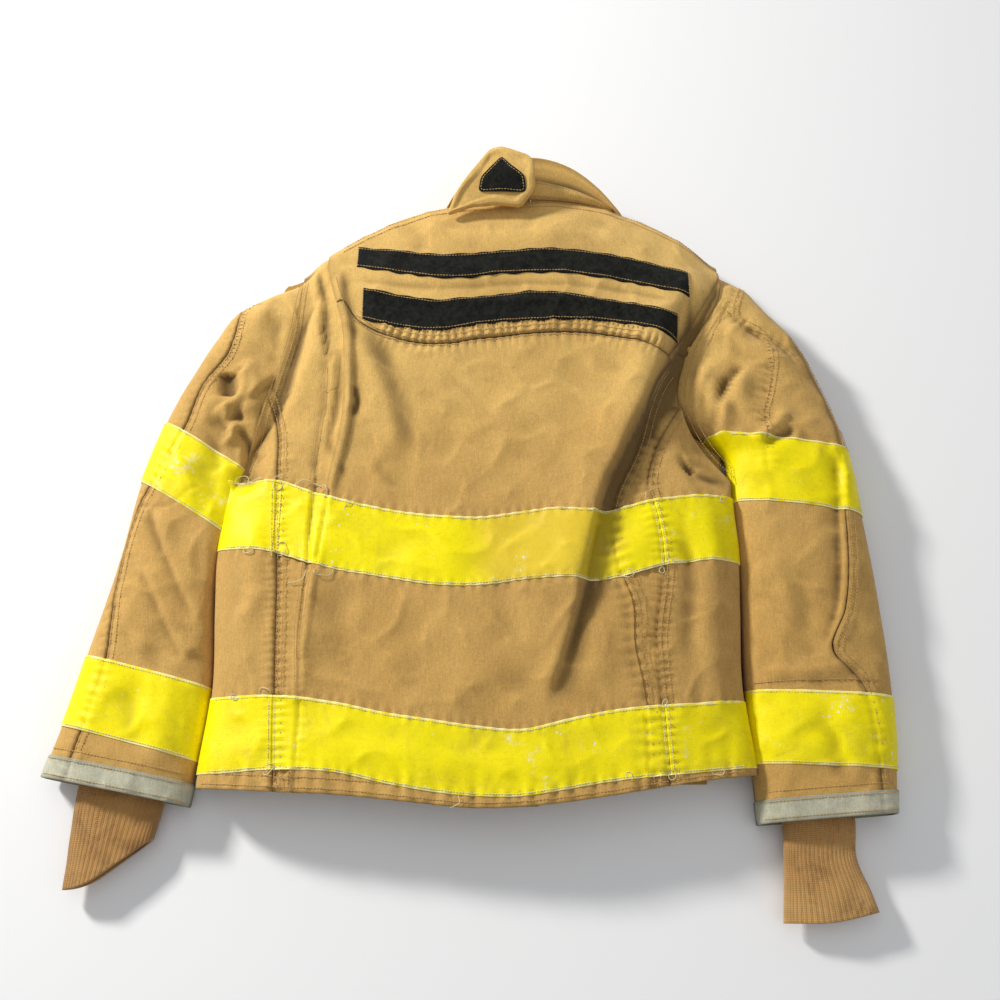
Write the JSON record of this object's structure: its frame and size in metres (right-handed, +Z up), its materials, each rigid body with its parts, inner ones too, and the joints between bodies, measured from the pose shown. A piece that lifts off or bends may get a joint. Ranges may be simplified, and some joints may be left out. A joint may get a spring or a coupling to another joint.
{
  "type": "turnout coat",
  "caption": "Waist-length firefighter's turnout coat lying face down, with fluorescent trim bands, hook-and-loop strips on the yoke, knit wristlets and a zip front under a storm flap.",
  "frame": {"origin": "middle of the bounding box at the surface the coat lies on", "axes": "+Z up out of the coat's back, +Y towards the collar, +X towards the coat's right sleeve as it lies face down"},
  "size_m": [0.8646, 0.845, 0.0925],
  "materials": {
    "shell_cloth": "matt plain weave canvas",
    "reflective_trim": "semi-matt coated cloth",
    "hook_and_loop": "fuzzy matt",
    "quilted_liner": "matt quilted",
    "barrier_cloth": "smooth matt",
    "cuff_cloth": "worn matt",
    "rib_knit": "ribbed knit",
    "zip_tape": "woven tape",
    "zip_brass": "dull"
  },
  "bodies": {
    "coat_body": {"back_panel": "shell_cloth", "back_yoke": "shell_cloth", "left_side_panel": "shell_cloth", "right_side_panel": "shell_cloth", "left_front_panel": "shell_cloth", "right_front_panel": "shell_cloth", "left_gusset": "shell_cloth", "right_gusset": "shell_cloth", "left_shoulder_panel": "shell_cloth", "right_shoulder_panel": "shell_cloth", "hem_facing": "shell_cloth", "collar_back": "shell_cloth", "collar_left": "shell_cloth", "collar_right": "shell_cloth", "storm_flap_seam": "shell_cloth", "left_pocket": "shell_cloth", "left_pocket_flap_seam": "shell_cloth", "right_pocket": "shell_cloth", "right_pocket_flap_seam": "shell_cloth", "moisture_barrier": "barrier_cloth", "thermal_liner": "quilted_liner", "upper_loop_strip": "hook_and_loop", "lower_loop_strip": "hook_and_loop", "front_loop_strip": "hook_and_loop", "zip_tape_left": "zip_tape", "zip_tape_right": "zip_tape", "left_pocket_trim": "reflective_trim", "right_pocket_trim": "reflective_trim", "chest_trim_back": "reflective_trim", "chest_trim_left": "reflective_trim", "chest_trim_right": "reflective_trim", "hem_trim_back": "reflective_trim", "hem_trim_left": "reflective_trim", "hem_trim_right": "reflective_trim"},
    "throat_tab": {"throat_tab": "shell_cloth", "throat_tab_patch": "hook_and_loop"},
    "storm_flap": {"storm_flap": "shell_cloth", "storm_flap_hook_strip": "hook_and_loop"},
    "zip_slider": {"zip_slider": "zip_brass"},
    "zip_pull": {"zip_pull": "zip_brass"},
    "left_pocket_flap": {"left_pocket_flap": "shell_cloth"},
    "right_pocket_flap": {"right_pocket_flap": "shell_cloth"},
    "left_sleeve": {"left_sleeve_back": "shell_cloth", "left_sleeve_front": "shell_cloth", "left_sleeve_liner": "quilted_liner", "left_upper_trim": "reflective_trim", "left_lower_trim": "reflective_trim", "left_cuff_trim": "cuff_cloth"},
    "left_wristlet": {"left_wristlet": "rib_knit"},
    "right_sleeve": {"right_sleeve_back": "shell_cloth", "right_sleeve_front": "shell_cloth", "right_sleeve_liner": "quilted_liner", "right_upper_trim": "reflective_trim", "right_lower_trim": "reflective_trim", "right_cuff_trim": "cuff_cloth"},
    "right_wristlet": {"right_wristlet": "rib_knit"}
  },
  "joints": [
    {"name": "left_sleeve_swing", "type": "hinge", "parent": "coat_body", "child": "left_sleeve", "pos_m": [-0.28314, 0.14547, 0.023], "axis": [0, 0, -1], "range_deg": [0, 40]},
    {"name": "right_sleeve_swing", "type": "hinge", "parent": "coat_body", "child": "right_sleeve", "pos_m": [0.32886, 0.14347, 0.023], "axis": [0, 0, 1], "range_deg": [0, 40]},
    {"name": "left_wristlet_tuck", "type": "slide", "parent": "left_sleeve", "child": "left_wristlet", "axis": [0.19, 0.9818, 0], "range_m": [0, 0.06]},
    {"name": "right_wristlet_tuck", "type": "slide", "parent": "right_sleeve", "child": "right_wristlet", "axis": [-0.078, 0.997, 0], "range_m": [0, 0.06]},
    {"name": "throat_tab_hinge", "type": "hinge", "parent": "coat_body", "child": "throat_tab", "pos_m": [-0.02714, 0.34647, 0.0866], "axis": [-0.4924, -0.8703, 0], "range_deg": [0, 110]},
    {"name": "storm_flap_hinge", "type": "hinge", "parent": "coat_body", "child": "storm_flap", "pos_m": [0.05386, -0.00853, 0], "axis": [0, -1, 0], "range_deg": [0, 105]},
    {"name": "left_pocket_flap_hinge", "type": "hinge", "parent": "coat_body", "child": "left_pocket_flap", "pos_m": [-0.14114, -0.09153, 0], "axis": [1, 0, 0], "range_deg": [0, 150]},
    {"name": "right_pocket_flap_hinge", "type": "hinge", "parent": "coat_body", "child": "right_pocket_flap", "pos_m": [0.16586, -0.09153, 0], "axis": [1, 0, 0], "range_deg": [0, 150]},
    {"name": "zip_slide", "type": "slide", "parent": "coat_body", "child": "zip_slider", "axis": [0, -1, 0], "range_m": [0, 0.51]},
    {"name": "zip_pull_swing", "type": "hinge", "parent": "zip_slider", "child": "zip_pull", "pos_m": [0.00686, 0.25847, 0.004], "axis": [0, 0, 1], "range_deg": [-12, 12]}
  ]
}
